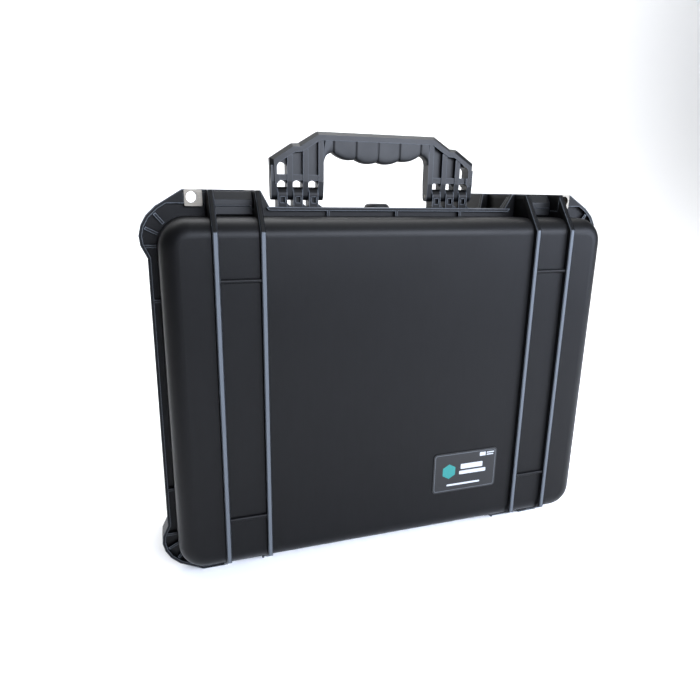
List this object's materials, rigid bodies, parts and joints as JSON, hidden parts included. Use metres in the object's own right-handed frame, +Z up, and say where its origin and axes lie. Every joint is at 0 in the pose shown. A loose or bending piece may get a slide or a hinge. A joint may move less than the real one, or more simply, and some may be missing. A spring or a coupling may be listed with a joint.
{
  "type": "hard protective equipment case",
  "caption": "Black hard protective case for equipment, with ribbed lid, folding handle, pull latches, padlock eyes, pressure valve and foam lining.",
  "frame": {"origin": "middle of the footprint, on the surface the case stands on", "axes": "+X across the case to the viewer's right, +Y from the lid to the base's back, +Z up from the hinge side to the handle"},
  "size_m": [0.503, 0.188, 0.4607],
  "materials": {
    "case_plastic": "matte",
    "fitting_plastic": "satin",
    "grip_rubber": "matte",
    "seal_rubber": "satin",
    "steel": "satin",
    "vent_membrane": "matte",
    "foam": "matte",
    "label": "satin"
  },
  "bodies": {
    "base": {"base_shell": "case_plastic", "base_foam_pad": "foam", "base_foam_block": "foam", "valve_body": "fitting_plastic", "valve_seal": "seal_rubber", "valve_disc": "vent_membrane", "valve_cap": "fitting_plastic", "valve_nut": "fitting_plastic", "hinge_pin_left": "steel", "hinge_pin_right": "steel", "latch_pivot_pin_left": "steel", "latch_pivot_pin_right": "steel", "handle_pin_left": "steel", "handle_pin_right": "steel", "base_padlock_guard_left": "steel", "base_padlock_guard_right": "steel"},
    "lid": {"lid_shell": "case_plastic", "lid_foam": "foam", "lid_seal": "seal_rubber", "label_plate": "label", "lid_padlock_guard_left": "steel", "lid_padlock_guard_right": "steel"},
    "handle": {"handle_frame": "fitting_plastic", "handle_grip": "grip_rubber"},
    "lever_left": {"latch_lever_left": "fitting_plastic", "latch_link_pin_left": "steel"},
    "hook_left": {"latch_hook_left": "fitting_plastic"},
    "lever_right": {"latch_lever_right": "fitting_plastic", "latch_link_pin_right": "steel"},
    "hook_right": {"latch_hook_right": "fitting_plastic"}
  },
  "joints": [
    {"name": "lid_hinge", "type": "hinge", "parent": "base", "child": "lid", "pos_m": [0, -0.0425, 0.005], "axis": [1, 0, 0], "range_deg": [0, 100]},
    {"name": "handle_fold", "type": "hinge", "parent": "base", "child": "handle", "pos_m": [0, 0.012, 0.3962], "axis": [-1, 0, 0], "range_deg": [0, 90]},
    {"name": "latch_lever_left", "type": "hinge", "parent": "base", "child": "lever_left", "pos_m": [-0.16635, -0.018, 0.388], "axis": [1, 0, 0], "range_deg": [0, 80]},
    {"name": "latch_hook_left", "type": "hinge", "parent": "lever_left", "child": "hook_left", "pos_m": [-0.16635, -0.01, 0.394], "axis": [1, 0, 0], "range_deg": [-104, 0]},
    {"name": "latch_lever_right", "type": "hinge", "parent": "base", "child": "lever_right", "pos_m": [0.16635, -0.018, 0.388], "axis": [1, 0, 0], "range_deg": [0, 80]},
    {"name": "latch_hook_right", "type": "hinge", "parent": "lever_right", "child": "hook_right", "pos_m": [0.16635, -0.01, 0.394], "axis": [1, 0, 0], "range_deg": [-104, 0]}
  ],
  "couplings": [
    {"joint": "latch_hook_left", "follows": "latch_lever_left", "ratio": -1.3},
    {"joint": "latch_hook_right", "follows": "latch_lever_right", "ratio": -1.3}
  ]
}
